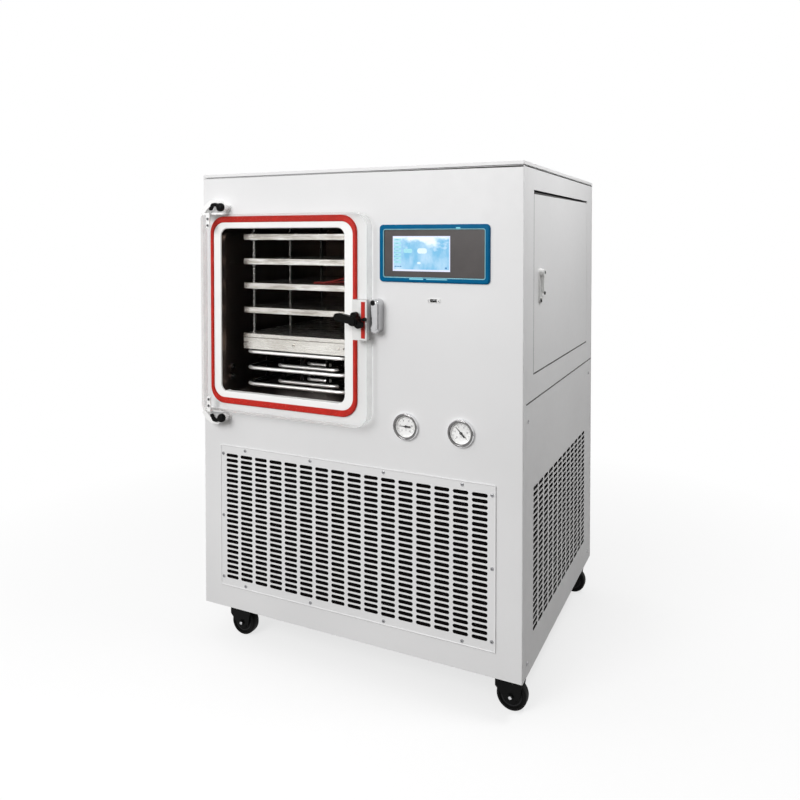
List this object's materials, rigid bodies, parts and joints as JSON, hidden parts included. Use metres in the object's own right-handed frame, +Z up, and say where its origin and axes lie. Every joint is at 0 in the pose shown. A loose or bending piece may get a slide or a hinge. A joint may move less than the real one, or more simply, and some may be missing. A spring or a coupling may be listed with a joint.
{
  "type": "freeze dryer",
  "caption": "Floor-standing freeze dryer on casters: a steel cabinet with a clear-doored shelf chamber, coil condenser, touch panel, gauges and louvred machine bay",
  "frame": {"origin": "centre of the cabinet's footprint, on the floor under the casters", "axes": "+X towards the control column, the viewer's right from the front; +Y towards the back, so the door and controls face -Y; +Z up from the floor through the casters and the cabinet"},
  "size_m": [0.9546, 0.918, 1.323],
  "materials": {
    "panel": "light grey powder coat with a fine orange-peel texture",
    "frame": "grey powder coat on folded steel",
    "galvanised": "zinc-plated sheet",
    "bright_steel": "polished stainless steel",
    "dark_steel": "smooth stainless steel, dark because the chamber is unlit",
    "aluminium": "mill-finish fins",
    "chrome": "polished chrome plate",
    "red_rubber": "red silicone rubber with a soft sheen",
    "wheel_rubber": "black rubber tread",
    "cable": "dark red silicone cable",
    "blue_plastic": "glossy blue moulding",
    "dark_plastic": "matt dark grey moulding",
    "black_plastic": "satin black moulding",
    "white_plastic": "satin white moulding",
    "black_paint": "black enamel",
    "screen": "lit touch screen behind smooth glass",
    "glass": "clear glass",
    "clear_acrylic": "clear acrylic plate with polished edges"
  },
  "bodies": {
    "cabinet": {"base_frame": "frame", "corner_posts": "frame", "mid_deck": "galvanised", "front_panel": "panel", "front_grille": "panel", "panel_screws": "bright_steel", "left_upper_panel": "panel", "left_lower_panel": "panel", "right_upper_panel": "panel", "right_lower_panel": "panel", "rear_panel": "panel", "top_lid": "panel", "chamber_shell": "dark_steel", "chamber_flange": "panel", "door_gasket": "red_rubber", "shelf_top": "bright_steel", "shelf_1": "bright_steel", "shelf_2": "bright_steel", "shelf_3": "bright_steel", "shelf_base": "bright_steel", "shelf_rods": "bright_steel", "condenser_coil": "bright_steel", "probe_cables": "cable", "hmi_bezel": "blue_plastic", "hmi_plate": "dark_plastic", "hmi_screen": "screen", "gauge_cases": "chrome", "gauge_dials": "white_plastic", "gauge_lenses": "glass", "usb_socket": "black_plastic", "hinge_brackets": "chrome", "hinge_caps": "black_plastic", "latch_keeper": "chrome", "compressor": "black_paint", "heat_exchanger": "aluminium", "control_plate": "galvanised", "vacuum_port": "bright_steel", "power_inlet": "black_plastic", "drain_port": "bright_steel", "caster_plates": "galvanised"},
    "door": {"door_plate": "clear_acrylic", "hinge_straps": "bright_steel", "latch_housing": "white_plastic", "latch_pad": "red_rubber"},
    "latch": {"latch_lever": "black_plastic", "latch_spindle": "bright_steel"},
    "service_door": {"service_door": "panel", "lock_body": "chrome"},
    "service_lock": {"lock_handle": "chrome"},
    "needle_1": {"gauge_needle_1": "black_plastic"},
    "needle_2": {"gauge_needle_2": "black_plastic"},
    "fan": {"condenser_fan": "black_plastic"},
    "swivel_fl": {"caster_fork_fl": "black_paint"},
    "wheel_fl": {"caster_wheel_fl": "wheel_rubber"},
    "swivel_fr": {"caster_fork_fr": "black_paint"},
    "wheel_fr": {"caster_wheel_fr": "wheel_rubber"},
    "swivel_rl": {"caster_fork_rl": "black_paint"},
    "wheel_rl": {"caster_wheel_rl": "wheel_rubber"},
    "swivel_rr": {"caster_fork_rr": "black_paint"},
    "wheel_rr": {"caster_wheel_rr": "wheel_rubber"}
  },
  "joints": [
    {"name": "door_hinge", "type": "hinge", "parent": "cabinet", "child": "door", "pos_m": [-0.446, -0.416, 0.93625], "axis": [0, 0, -1], "range_deg": [0, 110]},
    {"name": "latch_turn", "type": "hinge", "parent": "door", "child": "latch", "pos_m": [0.05, -0.435, 0.938], "axis": [0, -1, 0], "range_deg": [0, 90]},
    {"name": "service_door_hinge", "type": "hinge", "parent": "cabinet", "child": "service_door", "pos_m": [0.466, 0.307, 1.035], "axis": [0, 0, 1], "range_deg": [0, 110]},
    {"name": "lock_turn", "type": "hinge", "parent": "service_door", "child": "service_lock", "pos_m": [0.47, -0.255, 1.058], "axis": [-1, 0, 0], "range_deg": [0, 90]},
    {"name": "needle_1_turn", "type": "hinge", "parent": "cabinet", "child": "needle_1", "pos_m": [0.17, -0.397, 0.674], "axis": [0, 1, 0], "range_deg": [-45, 225], "stiffness_Nm_per_rad": 0.00005},
    {"name": "needle_2_turn", "type": "hinge", "parent": "cabinet", "child": "needle_2", "pos_m": [0.3168, -0.397, 0.674], "axis": [0, 1, 0], "range_deg": [-90, 180], "stiffness_Nm_per_rad": 0.00005},
    {"name": "fan_spin", "type": "hinge", "parent": "cabinet", "child": "fan", "pos_m": [-0.185, -0.257, 0.342], "axis": [0, -1, 0], "continuous": true},
    {"name": "swivel_fl_turn", "type": "hinge", "parent": "cabinet", "child": "swivel_fl", "pos_m": [-0.4, -0.339, 0.077], "axis": [0, 0, 1], "continuous": true},
    {"name": "wheel_fl_roll", "type": "hinge", "parent": "swivel_fl", "child": "wheel_fl", "pos_m": [-0.37, -0.339, 0.038], "axis": [0, 1, 0], "continuous": true},
    {"name": "swivel_fr_turn", "type": "hinge", "parent": "cabinet", "child": "swivel_fr", "pos_m": [0.4, -0.339, 0.077], "axis": [0, 0, 1], "continuous": true},
    {"name": "wheel_fr_roll", "type": "hinge", "parent": "swivel_fr", "child": "wheel_fr", "pos_m": [0.43, -0.339, 0.038], "axis": [0, 1, 0], "continuous": true},
    {"name": "swivel_rl_turn", "type": "hinge", "parent": "cabinet", "child": "swivel_rl", "pos_m": [-0.4, 0.329, 0.077], "axis": [0, 0, 1], "continuous": true},
    {"name": "wheel_rl_roll", "type": "hinge", "parent": "swivel_rl", "child": "wheel_rl", "pos_m": [-0.37, 0.329, 0.038], "axis": [0, 1, 0], "continuous": true},
    {"name": "swivel_rr_turn", "type": "hinge", "parent": "cabinet", "child": "swivel_rr", "pos_m": [0.4, 0.329, 0.077], "axis": [0, 0, 1], "continuous": true},
    {"name": "wheel_rr_roll", "type": "hinge", "parent": "swivel_rr", "child": "wheel_rr", "pos_m": [0.43, 0.329, 0.038], "axis": [0, 1, 0], "continuous": true}
  ]
}
